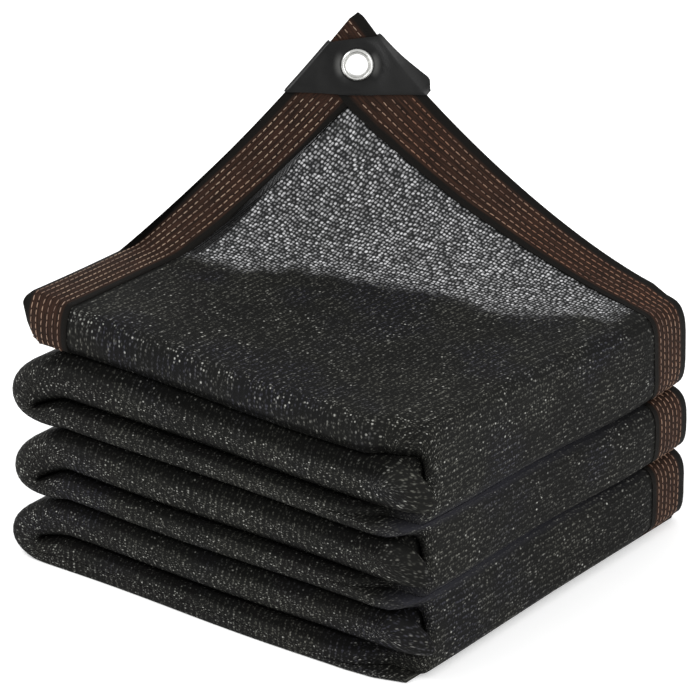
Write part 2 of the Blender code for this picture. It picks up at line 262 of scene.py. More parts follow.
# %% Legs and turns
def leg_heights(index, x):
    low, high = LEGS[index][2:4]
    thinner = FLOOR_THINS * smooth(FLOOR_THINS_FROM, RIGHT_TURN, x)
    if LEGS[index][0] == "wrap_c":
        low -= thinner
    if LEGS[index][0] == "floor":
        high -= thinner
    return low, high


def leg_ring(index, x):
    """(sides, draw, front, left exposure, right exposure, valley) at a station of a leg, as travelled."""
    name, way = LEGS[index][:2]
    back_low, back_high = LEGS[index][4:6]

    def sides(y):
        if index == 0:
            return round_end(*top_pair(*blunted(x, y)), x)
        low, high = leg_heights(index, x)
        pair = settle((x, y, high)), settle((x, y, low))
        return pair if way > 0 else pair[::-1]

    front = 0.0
    if index == 0:
        front = NEAR_CORNER_BACK * smooth(*NEAR_CORNER_TOP, x) + LEFT_CORNER_BACK * smooth(-5, END_OUT, -x)
    elif name.startswith("wrap"):
        front = NEAR_CORNER_BACK * smooth(*NEAR_CORNER_WRAP, x)
    elif name == "floor":
        front = FLOOR_CORNER_BACK * smooth(*FLOOR_CORNER, x)
    draw = (back_high, back_low) if way > 0 else (back_low, back_high)
    return sides, draw, front, float(index == 0), 0.0, 0.0


def turn_ring(index, phi):
    """The same for a step of the turn between leg index and the next one."""
    turn = TURNS[index]
    side = turn[0]
    start = RIGHT_TURN if side > 0 else LEFT_TURN
    before = leg_heights(index, start)
    after = leg_heights(index + 1, start)
    if index == 0:
        before = (LEGS[0][2], top_height(start))
    falling = before[0] > after[0]
    outer = (before[1], after[0]) if falling else (before[0], after[1])
    inner = (before[0], after[1]) if falling else (before[1], after[0])
    droop = DROOP_SHARES[index // TURNS_IN_FOLD]
    sine = max(0.0, math.sin(phi))

    def at(which, ends, y):
        power = turn[3 + which]
        shoulder = 0.5 + 0.4 * power
        if turn is WRAP and which == 0:
            far = smooth(*WRAP_FAR, y)
            power = WRAP_NEAR_ROUND + (power - WRAP_NEAR_ROUND) * smooth(*WRAP_NEAR, y)
            power += WRAP_FAR_ROUNDER * far
            shoulder = WRAP_SHOULDER + 0.2 * far
        reach = turn[1 + which] * sine**power
        cosine = math.copysign(abs(math.cos(phi)) ** shoulder, math.cos(phi))
        if turn is NOSE and which == 0:
            tip = sine**NOSE_POINT * (NOSE_MIDDLE + NOSE_TILT * cosine)
            reach += NOSE_OUT * (1 - smooth(*NOSE_DEPTH, y)) * tip
        middle = (ends[0] + ends[1]) / 2
        if side < 0:
            middle -= droop * sine * (DROOP if which == 0 and turn is BULGE else DROOP_INNER)
        height = max(0.0, middle + (ends[0] - ends[1]) / 2 * cosine)
        return settle((start + side * reach, y, height))

    clockwise = (side > 0) == falling

    def sides(y):
        pair = at(0, outer, y), at(1, inner, y)
        return pair if clockwise else pair[::-1]

    first = leg_ring(index, start)
    last = leg_ring(index + 1, start)
    share = (1 - math.cos(phi)) / 2
    draw = [a + (b - a) * share for a, b in zip(first[1], last[1])]
    front = first[2] + (last[2] - first[2]) * smooth(0, 0.75, phi)
    if side > 0 and turn is not NOSE:
        front += WRAP_FRONT_BACK * sine
        draw[0] += WRAP_DRAW * sine
    shown = smooth(0.1, 0.6, sine) * (turn is not POCKET)
    left = max(shown * clockwise, (1 - smooth(0, 0.6, phi)) * (index == 0))
    half_way = math.pi / 2
    end_of_stack = (index == 0 and phi < half_way) or (index == 2 * TURNS_IN_FOLD and phi > half_way)
    # how deep a point lies in the hollow between two wraps, where the net is painted lighter
    valley = (1 - smooth(0.2, 0.9, sine)) * (turn is WRAP and not end_of_stack)
    return sides, draw, front, left, shown * (not clockwise), valley


# %% Rings along the strip
TURN_STEPS = 20
LEG_STEPS = 13


def strip_rings(first_stations):
    rings = [leg_ring(0, u) for u in first_stations]
    for index in range(1, len(LEGS)):
        rings += [turn_ring(index - 1, math.pi * step / TURN_STEPS) for step in range(1, TURN_STEPS)]
        start, end = (RIGHT_TURN, LEFT_TURN) if LEGS[index][1] < 0 else (LEFT_TURN, RIGHT_TURN)
        if LEGS[index][0] == "floor":
            end = FLOOR_END
        rings += [leg_ring(index, start + (end - start) * step / LEG_STEPS) for step in range(LEG_STEPS + 1)]
    return rings


def stations(low, high, step):
    count = max(1, round((high - low) / step))
    return [low + (high - low) * i / count for i in range(count + 1)]


print("rings below the top ply", len(strip_rings([])))

# %% [markdown]
# ## Camera, floor and light
# The camera stands where the photograph was taken from: well to the right of the front, 26 degrees up, with
# a long lens, so that parallel edges stay nearly parallel. The floor is pale and plain. A large soft light
# comes from the upper left and a weaker one from the right. The world fills the shadows, since the
# photograph has few.

# %% Camera, floor and light
scene = bpy.context.scene
AZIMUTH, ELEVATION = 37.2, 26.0
LENS, SENSOR = 500.0, 36.0
PICTURE = 700.0
PIXELS_PER_MM = 1.4577
az, el = math.radians(AZIMUTH), math.radians(ELEVATION)
back = Vector((math.sin(az) * math.cos(el), -math.cos(az) * math.cos(el), math.sin(el)))
right = Vector((math.cos(az), math.sin(az), 0))
up = back.cross(right)
# the near right corner on the floor and its place in the photograph, in pixels, fix where the camera aims
middle = Vector((160, 160, 140))
near_corner = Vector((320, 0, 0))
CORNER_PIXEL = (405.0, 686.0)
mid_px = CORNER_PIXEL[0] + PIXELS_PER_MM * (0.7965 * (middle.x - near_corner.x) + 0.6046 * middle.y)
mid_py = CORNER_PIXEL[1] + PIXELS_PER_MM * (
    0.265 * (middle.x - near_corner.x) - 0.349 * middle.y - 0.8988 * middle.z
)
off_right, off_down = [(PICTURE / 2 - at) / PIXELS_PER_MM for at in (mid_px, mid_py)]
aim = middle + right * off_right - up * off_down
camera_data = bpy.data.cameras.new("photo_camera")
camera = bpy.data.objects.new("photo_camera", camera_data)
scene.collection.objects.link(camera)
camera_data.lens = LENS
camera_data.sensor_width = SENSOR
camera_data.clip_end = 60
turned = Matrix((right, up, back)).transposed().to_4x4()
distance_mm = PICTURE / PIXELS_PER_MM * LENS / SENSOR
camera.matrix_world = Matrix.Translation((aim + back * distance_mm - CENTRE) * MM) @ turned
scene.camera = camera

bpy.ops.mesh.primitive_plane_add(size=16, location=(0, 0, -0.0002))
floor = bpy.context.object
floor.name = "floor"
floor_look = bpy.data.materials.new("pale_floor")
floor_look.use_nodes = True
floor_shader = floor_look.node_tree.nodes["Principled BSDF"]
floor_shader.inputs["Base Color"].default_value = (0.93, 0.93, 0.93, 1)
floor_shader.inputs["Roughness"].default_value = 0.9
floor_shader.inputs["Specular IOR Level"].default_value = 0.0
floor_shader.inputs["Emission Color"].default_value = (1, 1, 1, 1)
floor_shader.inputs["Emission Strength"].default_value = 0.3
floor.data.materials.append(floor_look)
floor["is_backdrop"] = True

world = bpy.data.worlds.new("studio")
scene.world = world
world.use_nodes = True
world.node_tree.nodes["Background"].inputs["Color"].default_value = (1, 1, 1, 1)
world.node_tree.nodes["Background"].inputs["Strength"].default_value = 0.95


def area_light(name, place, size, watts):
    data = bpy.data.lights.new(name, "AREA")
    data.shape = "DISK"
    data.size = size
    data.energy = watts
    light = bpy.data.objects.new(name, data)
    scene.collection.objects.link(light)
    light.location = place
    light.rotation_mode = "QUATERNION"
    light.rotation_quaternion = (Vector(place) - Vector((0, 0, 0.15))).to_track_quat("Z", "Y")


area_light("key_light", (-1.4, -1.5, 2.4), 1.6, 34)
area_light("right_light", (2.3, -0.6, 1.5), 1.4, 24)
scene.view_settings.view_transform = "Standard"
print("camera at", [round(v, 3) for v in camera.location])

# %% [markdown]
# ## The knitted net
# On the real object this is one knitted sheet of black polyethylene tape and thread, about 1 mm thick. It
# could be a plane bent by modifiers, but twelve turns want exact places. So it is made of rings across the
# strip, joined along its length. On the stack each ply is a pressed bundle, and at the drawn-up corner it
# is a single thin sheet. A UV map holds millimetres along and across the cloth, for the knit. Four
# attributes go with it: "open" where one thickness hangs free and light comes through, "shade" for
# painted shade in the creases between plies and at the far end of the valleys, "crown" for where painted
# glints gather along the middle of each fold's front, and "valley" for the hollows between the wraps at
# the right, which are painted lighter and bluish, without glints.

# %% Sheet builder
def front_cap(ring, steps):
    """The rounded front of a ring, from its left face to its right face."""
    sides, draw, front = ring[:3]
    points = []
    for step in range(steps + 1):
        w = (1 - math.cos(math.pi * step / steps)) / 2
        drop = draw[0] * (1 - math.sqrt(1 - (1 - w) ** 2)) + draw[1] * (1 - math.sqrt(1 - w * w))
        a, b = sides(front + drop)
        points.append((a.lerp(b, w), front + drop))
    return points


def thinned(pair, y, u):
    """The net is thinner than its solid where it hangs free."""
    single = smooth(0.0, SINGLE_BY, raised(u, y)[0]) if u is not None else 0.0
    inset = (pair[0] - pair[1]).normalized() * (SHEET - NET_THICK) / 2 * single
    return pair[0] - inset, pair[1] + inset


def new_piece(name, places, faces, look):
    """A mesh from places in millimetres, with all its faces turned outwards."""
    mesh = bpy.data.meshes.new(name)
    mesh.from_pydata([(p - CENTRE) * MM for p in places], [], faces)
    bm = bmesh.new()
    bm.from_mesh(mesh)
    bmesh.ops.recalc_face_normals(bm, faces=bm.faces)
    bm.to_mesh(mesh)
    bm.free()
    mesh.materials.append(look)
    obj = bpy.data.objects.new(name, mesh)
    scene.collection.objects.link(obj)
    return obj


def sheet_object(name, loops, coords, look, **values):
    """A closed tube of rings with its two ends filled, UV in millimetres and any named attributes."""
    count = len(loops[0])
    faces = []
    for row in range(len(loops) - 1):
        for i in range(count):
            j = (i + 1) % count
            faces.append((row * count + i, row * count + j, (row + 1) * count + j, (row + 1) * count + i))
    last = (len(loops) - 1) * count
    for i in range(1, count // 2):
        a, b, c, d = i - 1, count - i, count - i - 1, i
        faces.append((d, c, b, a))
        faces.append((last + a, last + b, last + c, last + d))
    obj = new_piece(name, [p for loop in loops for p in loop], faces, look)
    mesh = obj.data
    uv = mesh.uv_layers.new(name="cloth_mm")
    where = [c for row in coords for c in row]
    for polygon in mesh.polygons:
        for loop_index, vertex in zip(polygon.loop_indices, polygon.vertices):
            uv.data[loop_index].uv = where[vertex]
    for key, rows in values.items():
        layer = mesh.attributes.new(key, "FLOAT", "POINT")
        layer.data.foreach_set("value", [v for row in rows for v in row])
    mesh.shade_smooth()
    return obj


def along_faces(ring, steps):
    """Places along the left and the right face together, from the end of the front cap to the seam."""
    nears = [ring[2] + back for back in ring[1]]
    return [[near + (SEAM - near) * step / steps for near in nears] for step in range(1, steps + 1)]


def path_lengths(rings, y):
    """Distance along the cloth at each ring, measured on whichever face is the longer."""
    total, lengths = 0.0, [0.0]
    pairs = [ring[0](y) for ring in rings]
    for one, two in zip(pairs, pairs[1:]):
        total += max((two[0] - one[0]).length, (two[1] - one[1]).length)
        lengths.append(total)
    return lengths


# %% [markdown]
# ## Materials
# Each is built from procedural nodes. The net's is a knit: ribs 4.7 mm apart along the cloth, rows of loops
# and strands across it, painted highlights on loops in patches and on some strands, dark gaps between the
# loops deepened by painted shade, and slow changes of tone. Where the sheet hangs free, every open loop
# shows the pale ground behind as a light dot, on a slightly uneven grid. Cut holes would make a very heavy
# mesh, so they are painted.

# %% Material helpers
def new_material(name):
    material = bpy.data.materials.new(name)
    material.use_nodes = True
    return material, material.node_tree, material.node_tree.nodes["Principled BSDF"]


def put(tree, socket, value):
    if isinstance(value, bpy.types.NodeSocket):
        tree.links.new(value, socket)
    elif value is not None:
        socket.default_value = value


def new_node(tree, kind, inputs):
    """A node with some of its inputs linked or set, by name or by number."""
    node = tree.nodes.new("ShaderNode" + kind)
    for key, value in inputs.items():
        put(tree, node.inputs[key], value)
    return node


def calc(tree, operation, *values, clamp=False):
    node = new_node(tree, "Math", dict(enumerate(values)))
    node.operation = operation
    node.use_clamp = clamp
    return node.outputs[0]


def spread(tree, value, low, high, to_low=0.0, to_high=1.0):
    node = new_node(tree, "MapRange", dict(enumerate((value, low, high, to_low, to_high))))
    node.interpolation_type = "SMOOTHSTEP"
    return node.outputs["Result"]


def blend(tree, factor, one, two):
    node = tree.nodes.new("ShaderNodeMix")
    node.data_type = "RGBA"
    put(tree, node.inputs["Factor"], factor)
    put(tree, node.inputs[6], one)
    put(tree, node.inputs[7], two)
    return node.outputs[2]


def scaled(tree, vector, scale, rotation=0.0, location=(0, 0, 0)):
    turn = (0, 0, rotation)
    inputs = {"Vector": vector, "Scale": scale, "Rotation": turn, "Location": location}
    return new_node(tree, "Mapping", inputs).outputs[0]


def clouds(tree, vector, scale, detail=2.0, roughness=0.5):
    inputs = {"Vector": vector, "Scale": scale, "Detail": detail, "Roughness": roughness}
    return new_node(tree, "TexNoise", inputs).outputs["Fac"]


def cells(tree, vector, randomness):
    node = new_node(tree, "TexVoronoi", {"Vector": vector, "Scale": 1.0, "Randomness": randomness})
    return node.outputs["Distance"], node.outputs["Color"]


def bump(tree, shader, height, strength, distance):
    node = new_node(tree, "Bump", {"Strength": strength, "Distance": distance, "Height": height})
    put(tree, shader.inputs["Normal"], node.outputs[0])


def uv_mm(tree):
    node = tree.nodes.new("ShaderNodeUVMap")
    node.uv_map = "cloth_mm"
    return node.outputs[0]


def own_place(tree):
    return tree.nodes.new("ShaderNodeTexCoord").outputs["Object"]


def split_xy(tree, vector):
    node = new_node(tree, "SeparateXYZ", {"Vector": vector})
    return node.outputs[0], node.outputs[1]


# %% Net material
RIB_PITCH = 4.7
NET_DARK = (0.028, 0.028, 0.0247, 1)
NET_LIGHT = (0.06, 0.06, 0.05, 1)
NET_BLUE = (0.031, 0.031, 0.0405, 1)
NET_VALLEY_PAINTED_LIGHT = (0.036, 0.036, 0.044, 1)
NET_GROOVE_SHADE = (0.0065, 0.0065, 0.0062, 1)
NET_CREASE = (0.0025, 0.0025, 0.0024, 1)
STRAND_HIGHLIGHT = (0.145, 0.144, 0.126, 1)
GLINT = (0.36, 0.36, 0.33, 1)
VEIL_DARK = (0.0185, 0.019, 0.0195, 1)
VEIL_DOT = (0.62, 0.62, 0.63, 1)


def attribute(tree, name):
    node = tree.nodes.new("ShaderNodeAttribute")
    node.attribute_name = name
    return node.outputs["Fac"]


def drifted(tree, flat, scale, reach):
    """The flat coordinates with a slow sideways drift, so that no row of loops is quite straight."""
    drift = new_node(tree, "TexNoise", {"Vector": flat, "Scale": scale, "Detail": 3.0})
    warp = tree.nodes.new("ShaderNodeVectorMath")
    warp.operation = "MULTIPLY_ADD"
    put(tree, warp.inputs[0], drift.outputs["Color"])
    warp.inputs[1].default_value = (reach, reach, 0)
    put(tree, warp.inputs[2], flat)
    return warp.outputs[0]


def net_material():
    material, tree, shader = new_material("knitted_net")
    place = own_place(tree)
    flat = uv_mm(tree)
    knit = drifted(tree, flat, 0.06, 4.0)
    loop, loop_random = cells(tree, scaled(tree, knit, (2 / RIB_PITCH, 1 / 2.7, 1)), 0.6)
    yarn, yarn_random = cells(tree, scaled(tree, knit, (1 / 1.75, 1 / 3.0, 1), 0.3), 1.0)
    along = split_xy(tree, knit)[0]
    rib = calc(tree, "SINE", calc(tree, "MULTIPLY", along, 2 * math.pi / RIB_PITCH))
    hump = spread(tree, loop, 0.08, 0.58, 1.0, 0.0)
    strand = spread(tree, yarn, 0.08, 0.48, 1.0, 0.0)
    height = calc(tree, "ADD", calc(tree, "MULTIPLY", hump, 0.5), calc(tree, "MULTIPLY", strand, 0.34))
    height = calc(tree, "ADD", height, calc(tree, "MULTIPLY", rib, 0.2))
    # tone: dark gaps between loops with painted shade, olive-grey loops, bluish patches, and painted
    # highlights on strands here and there
    tone = clouds(tree, place, 16.0, 3.0)
    blue = spread(tree, clouds(tree, scaled(tree, place, (1, 1, 1), 0, (3, 5, 2)), 13.0, 2.0), 0.5, 0.66)
    colour = blend(tree, spread(tree, tone, 0.38, 0.62), NET_DARK, NET_LIGHT)
    colour = blend(tree, blue, colour, NET_BLUE)
    # dark gaps between the loops, deepened by painted shade where the knit is low
    colour = blend(tree, spread(tree, height, 0.12, 0.72, 0.95, 0.0), colour, NET_GROOVE_SHADE)
    # painted highlights on some strands, strongest on the crests of the ribs
    pale = calc(tree, "MULTIPLY", spread(tree, split_xy(tree, yarn_random)[0], 0.5, 0.95), strand)
    pale = calc(tree, "MULTIPLY", pale, spread(tree, rib, -0.8, 0.8, 0.35, 1.0))
    colour = blend(tree, calc(tree, "MULTIPLY", pale, 0.88), colour, STRAND_HIGHLIGHT)
    # glints: single loops that face the light, more of them in patches and along the crown of a fold
    random_a, random_b = split_xy(tree, loop_random)
    patchy = spread(tree, clouds(tree, flat, 0.03, 3.0), 0.4, 0.66)
    odds = calc(tree, "ADD", random_a, calc(tree, "MULTIPLY", patchy, 0.2))
    odds = calc(tree, "ADD", odds, calc(tree, "MULTIPLY", attribute(tree, "crown"), 0.42))
    chosen = spread(tree, odds, 0.9, 1.12)
    glint = calc(tree, "MULTIPLY", chosen, spread(tree, loop, 0.12, 0.42, 1.0, 0.0))
    glint = calc(tree, "MULTIPLY", glint, spread(tree, random_b, 0.0, 1.0, 0.3, 1.0))
    # painted light: the hollows between the wraps are drawn lighter and bluish, with fewer glints
    valley = attribute(tree, "valley")
    colour = blend(tree, calc(tree, "MULTIPLY", valley, 0.8), colour, NET_VALLEY_PAINTED_LIGHT)
    glint = calc(tree, "MULTIPLY", glint, spread(tree, valley, 0.0, 0.8, 1.0, 0.1))
    colour = blend(tree, glint, colour, GLINT)
    # creases: where the ply above keeps the light off
    shade = calc(tree, "MULTIPLY", attribute(tree, "shade"), 0.72)
    colour = blend(tree, shade, colour, NET_CREASE)
    # the single thickness: pale ground shows through every open loop, as painted light dots
    hole, hole_random = cells(tree, scaled(tree, knit, (1 / 2.65, 1 / 2.75, 1), math.radians(8)), 0.36)
    shine = spread(tree, split_xy(tree, hole_random)[0], 0.0, 1.0, 0.3, 1.0)
    dot = calc(tree, "MULTIPLY", spread(tree, hole, 0.15, 0.52, 1.0, 0.0), shine)
    veil = blend(tree, dot, VEIL_DARK, VEIL_DOT)
    # the painted light dots are stronger in some slow patches than in others
    light_through_strength = spread(tree, clouds(tree, flat, 0.09, 4.0, 0.6), 0.3, 0.62, 0.7, 1.0)
    backlit_look = blend(tree, light_through_strength, colour, veil)
    colour = blend(tree, attribute(tree, "open"), colour, backlit_look)
    put(tree, shader.inputs["Base Color"], colour)
    shader.inputs["Roughness"].default_value = 0.6
    gloss = spread(tree, height, 0.1, 0.75, 0.03, 0.095)
    gloss = calc(tree, "MULTIPLY", gloss, spread(tree, shade, 0.0, 0.8, 1.0, 0.12))
    put(tree, shader.inputs["Specular IOR Level"], gloss)
    bump(tree, shader, height, 0.6, 0.0006)
    return material


net_look = net_material()
print("net look", len(net_look.node_tree.nodes), "nodes, ribs", RIB_PITCH, "mm apart")

# %% [markdown]
# ## The net, folded
# It starts as 53 rings over the top ply and goes on round 12 turns to the ply on the floor. Where it hangs
# free it is 1.2 mm thick. The plies stay a little apart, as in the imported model. The creases are shaded by
# how deep a point lies between two plies, because the photograph has them darker than soft light alone
# makes them.

# %% Shade of the folds
def fold_shade(ring, share, x, right_up):
    """How deep in a crease a point of the front cap lies: share 0 is the strip's left side, 1 its right."""
    left = (ring[1][0], 1 - share, ring[3], not right_up)
    right_side = (ring[1][1], share, ring[4], right_up)
    shade = 0.0
    for back, place, shown, above in (left, right_side):
        wider = 0.95 + 0.35 * smooth(20, 200, x) if above else 0.45 + 0.25 * smooth(20, 200, x)
        width = (0.25 + 0.03 * back) * wider
        shade = max(shade, smooth(1 - width, 1 - 0.5 * width, place) * smooth(2, 7, back) * (1 - shown))
    return shade


def crown_at(share, x, u, right_up):
    """Glints: along the top ply's edge, in the end of each fold at the left, and along each roll's middle."""
    if u is not None:
        peak, reach, strength = 0.14, 0.15, 1.4
    elif x < LEFT_TURN - 2:
        peak, reach, strength = 0.4, 0.42, 1.25
    elif right_up:
        peak, reach, strength = 0.0, 0.4, 0.9
    else:
        peak, reach, strength = 0.16, 0.5, 1.0
    return max(0.0, 1 - abs(share - peak) / reach) * strength


# %% Net
FRONT_STEPS = 14
SIDE_STEPS = 40
FRONT_ALLOWANCE = 12
NET_FROM = BAND_WIDTH - END_OUT
top_stations = stations(NET_FROM, RIGHT_TURN, 5)
net_rings = strip_rings(top_stations)
net_path = path_lengths(net_rings, 140)
loops, coords = [], []
opens, shades, crowns, valleys = [], [], [], []
for number, ring in enumerate(net_rings):
    u = top_stations[number] if number < len(top_stations) else None
    cap = front_cap(ring, FRONT_STEPS)
    near_left, near_right = [ring[2] + back for back in ring[1]]
    lefts, rights = [], []
    for y_left, y_right in along_faces(ring, SIDE_STEPS):
        lefts.append((thinned(ring[0](y_left), y_left, u)[0], y_left))
        rights.append((thinned(ring[0](y_right), y_right, u)[1], y_right))
    reach = near_left + near_right + 2 * FRONT_ALLOWANCE
    across = [-(near_left + FRONT_ALLOWANCE) + reach * i / FRONT_STEPS for i in range(FRONT_STEPS + 1)]
    across += [y + FRONT_ALLOWANCE for _, y in rights]
    across += [-(y + FRONT_ALLOWANCE) for _, y in lefts[::-1]]
    loops.append([p for p, _ in cap + rights + lefts[::-1]])
    coords.append([(net_path[number], t) for t in across])
    hidden = [0.0] * (len(cap) + len(rights))
    opens.append(hidden + [light_behind(u, y) if u is not None else 0.0 for _, y in lefts[::-1]])
    shares = [(1 - math.cos(math.pi * i / FRONT_STEPS)) / 2 for i in range(FRONT_STEPS + 1)]
    one, other = ring[0](100)
    deep = [fold_shade(ring, w, one.x, other.z > one.z) for w in shares]
    far = [y for _, y in rights + lefts[::-1]]
    # painted shade at the far end of the valleys between the wraps, and how much lighter their hollows are
    # painted
    shades.append(deep + [0.45 * ring[5] * smooth(190, 300, y) for y in far])
    valleys.append([0.4 * ring[5]] * len(cap) + [ring[5] * (1 - 0.7 * smooth(120, 290, y)) for y in far])
    crowns.append([crown_at(w, one.x, u, other.z > one.z) for w in shares] + [0.0] * len(far))
net_cloth = sheet_object(
    "net_cloth", loops, coords, net_look, open=opens, shade=shades, crown=crowns, valley=valleys
)
print("net", len(net_cloth.data.vertices), "vertices, path", round(net_path[-1] / 1000, 3), "m")

# %% [markdown]
# ## The tapes
# The binding is a woven tape folded over the cloth's edge, about 38 mm wide on each face. A maker would sew
# it on with six rows of running stitch. It stands half a millimetre proud of the net wherever it shows,
# with a plain margin on each side of the stitching. It is made as the net is, so that it follows every
# fold.

# %% Tape material
TAPE_DARK = (0.0145, 0.0078, 0.0052, 1)
TAPE_WARM = (0.0385, 0.0178, 0.0112, 1)
TAPE_MARGIN = (0.0055, 0.005, 0.0042, 1)
TAPE_GAP = (0.004, 0.003, 0.0025, 1)
TAPE_PROUD = 0.5


def tape_material():
    material, tree, shader = new_material("woven_tape")
    flat = uv_mm(tree)
    along, across = split_xy(tree, flat)
    from_edge = calc(tree, "ABSOLUTE", across)
    inner_margin = spread(tree, from_edge, 32.0, 34.5, 1.0, 0.0)
    inside = calc(tree, "MULTIPLY", spread(tree, from_edge, 4.5, 7.0), inner_margin)
    mottle = clouds(tree, scaled(tree, flat, (0.05, 0.9, 1)), 1.0, 3.0)
    warm = blend(tree, spread(tree, mottle, 0.35, 0.65), TAPE_DARK, TAPE_WARM)
    colour = blend(tree, inside, TAPE_MARGIN, warm)
    weft = calc(tree, "SINE", calc(tree, "MULTIPLY", along, 2 * math.pi / 1.3))
    warp = calc(tree, "SINE", calc(tree, "MULTIPLY", across, 2 * math.pi / 1.1))
    weave = calc(tree, "MULTIPLY", weft, warp)
    colour = blend(tree, spread(tree, weave, -1.0, 1.0, 0.4, 0.0), colour, TAPE_GAP)
    put(tree, shader.inputs["Base Color"], colour)
    shader.inputs["Roughness"].default_value = 0.72
    shader.inputs["Specular IOR Level"].default_value = 0.08
    bump(tree, shader, weave, 0.4, 0.0003)
    return material


tape_look = tape_material()
print("tape look", len(tape_look.node_tree.nodes), "nodes")


def lifted(pair, left, right_side):
    """Both faces of the tape, raised where they show, and never below the floor."""
    out = (pair[0] - pair[1]).normalized() * TAPE_PROUD
    raised_pair = pair[0] + out * left, pair[1] - out * right_side
    for point in raised_pair:
        point.z = max(point.z, 0.0)
    return raised_pair


def exposures(ring, number, firsts, y):
    """How much each face shows: on the top ply its underside shows where the corner is drawn up."""
    if number >= len(firsts):
        return ring[3], ring[4]
    return 1.0, smooth(0.02, 0.2, raised(firsts[number], y)[0])


def taped_cap(ring, steps):
    """The front cap with the tape on it: a place and its outward direction, from left to right."""
    cap = [p for p, _ in front_cap(ring, steps)]
    up_cap = (cap[0] - cap[-1]).normalized()
    turns = [math.pi * i / steps for i in range(steps + 1)]
    outwards = [up_cap * math.cos(turn) - Vector((0, math.sin(turn), 0)) for turn in turns]
    return [(p + outward * TAPE_PROUD, outward) for p, outward in zip(cap, outwards)]


# %% Side tape
side_firsts = stations(-END_OUT, NET_FROM, 2.5) + stations(NET_FROM + 0.3, RIGHT_TURN, 5)
side_rings = strip_rings(side_firsts)
side_path = path_lengths(side_rings, 300)
side_ys = stations(SEAM - 0.05, STACK_DEPTH, 3.2)
loops, coords = [], []
for number, ring in enumerate(side_rings):
    lefts, rights = [], []
    for y in side_ys:
        a, b = lifted(ring[0](y), *exposures(ring, number, side_firsts, y))
        lefts.append(a)
        rights.append(b)
    thick = (lefts[-1] - rights[-1]).length
    bulge = []
    for step in range(1, 6):
        w = (1 - math.cos(math.pi * step / 6)) / 2
        a, b = ring[0](STACK_DEPTH + min(3.0, thick / 3) * math.sin(math.pi * step / 6) ** 0.7)
        bulge.append(b.lerp(a, w))
    loops.append(rights + bulge + lefts[::-1])
    rows = [STACK_DEPTH - y for y in side_ys]
    coords.append([(side_path[number], t) for t in rows + [-0.5] * 5 + rows[::-1]])
side_tape = sheet_object("side_tape", loops, coords, tape_look)

# %% End tape
END_STEPS = 56
end_firsts = stations(-END_OUT, NET_FROM + 0.05, 2.5)
end_rings = [leg_ring(0, u) for u in end_firsts]
loops, coords = [], []
for number, ring in enumerate(end_rings):
    lefts, rights = [], []
    for y_left, y_right in along_faces(ring, END_STEPS):
        lefts.append(lifted(ring[0](y_left), *exposures(ring, number, end_firsts, y_left))[0])
        rights.append(lifted(ring[0](y_right), *exposures(ring, number, end_firsts, y_right))[1])
    loops.append([p for p, _ in taped_cap(ring, FRONT_STEPS)] + rights + lefts[::-1])
    total, along = 0.0, [0.0]
    for one, two in zip(loops[-1], loops[-1][1:]):
        total += (two - one).length
        along.append(total)
    coords.append([(t, end_firsts[number] + END_OUT) for t in along])
end_tape = sheet_object("end_tape", loops, coords, tape_look)
print("tapes", len(side_tape.data.vertices), len(end_tape.data.vertices))

# %% [markdown]
# ## Stitching
# Six rows of running stitch hold each tape. The thread is tan, and more orange towards the right. Each
# visible stitch is a short, slightly flattened length of thread that dips into the tape at both ends. An
# array on a curve could lay them, but they also have to turn with the tape's face. So each is a lozenge of
# 24 faces, set by the place, the direction and the outward side of its row, and all of them are one mesh.

# %% Thread material
TAN = (0.15, 0.098, 0.07, 1), (0.33, 0.235, 0.165, 1)
ORANGE = (0.105, 0.042, 0.023, 1), (0.21, 0.092, 0.048, 1)
THREAD_GAP = (0.05, 0.025, 0.015, 1)


def thread_material():
    material, tree, shader = new_material("stitch_thread")
    place = own_place(tree)
    tone = clouds(tree, place, 60.0, 2.0)
    hue = clouds(tree, scaled(tree, place, (1, 1, 1), 0, (2, 0, 7)), 14.0, 2.0)
    light = spread(tree, tone, 0.35, 0.65)
    tan = blend(tree, light, *TAN)
    orange = blend(tree, light, *ORANGE)
    sideways = spread(tree, split_xy(tree, place)[0], -0.1, -0.04, 0.0, 0.55)
    warmer = calc(tree, "ADD", sideways, spread(tree, hue, 0.45, 0.62, 0.0, 0.4), clamp=True)
    colour = blend(tree, warmer, tan, orange)
    ply = calc(tree, "SINE", calc(tree, "MULTIPLY", clouds(tree, place, 900.0, 1.0), 18.0))
    colour = blend(tree, spread(tree, ply, -1.0, 1.0, 0.3, 0.0), colour, THREAD_GAP)
    put(tree, shader.inputs["Base Color"], colour)
    shader.inputs["Roughness"].default_value = 0.6
    bump(tree, shader, ply, 0.3, 0.0002)
    return material


# %% Rows of stitches
ROWS = (7.6, 12.3, 17.0, 21.7, 26.4, 31.0)
STITCH_PITCH = 5.1
STITCH_HALF = 2.3
THREAD = 0.47


def covered(u, v):
    """Whether the vinyl patch hides this point of the corner."""
    du, dv = u + END_OUT, STACK_DEPTH - v
    return du / 21.0 + dv / 21.5 > 1 and du / 77.5 + dv / 61.5 < 1


def resampled(line, pitch, offset):
    """Places along a row of (point, normal) pairs, a pitch apart: point, direction and normal."""
    out, want, total = [], offset, 0.0
    for (p, n), (q, m) in zip(line, line[1:]):
        length = (q - p).length
        while length > 1e-6 and want <= total + length:
            share = (want - total) / length
            out.append((p.lerp(q, share), (q - p).normalized(), n.lerp(m, share).normalized()))
            want += pitch
        total += length
    return out


def side_line(row, face, first, last, keep):
    """A row on the side tape, over rings first to last, on its left (0) or right (1) face."""
    y = STACK_DEPTH - row
    runs, line = [], []
    for number in range(first, last):
        ring = side_rings[number]
        pair = lifted(ring[0](y), *exposures(ring, number, side_firsts, y))
        if keep(number, y):
            outward = (pair[0] - pair[1]).normalized() * (1 if face == 0 else -1)
            line.append((pair[face], outward))
        elif line:
            runs.append(line)
            line = []
    return runs + [line] if line else runs


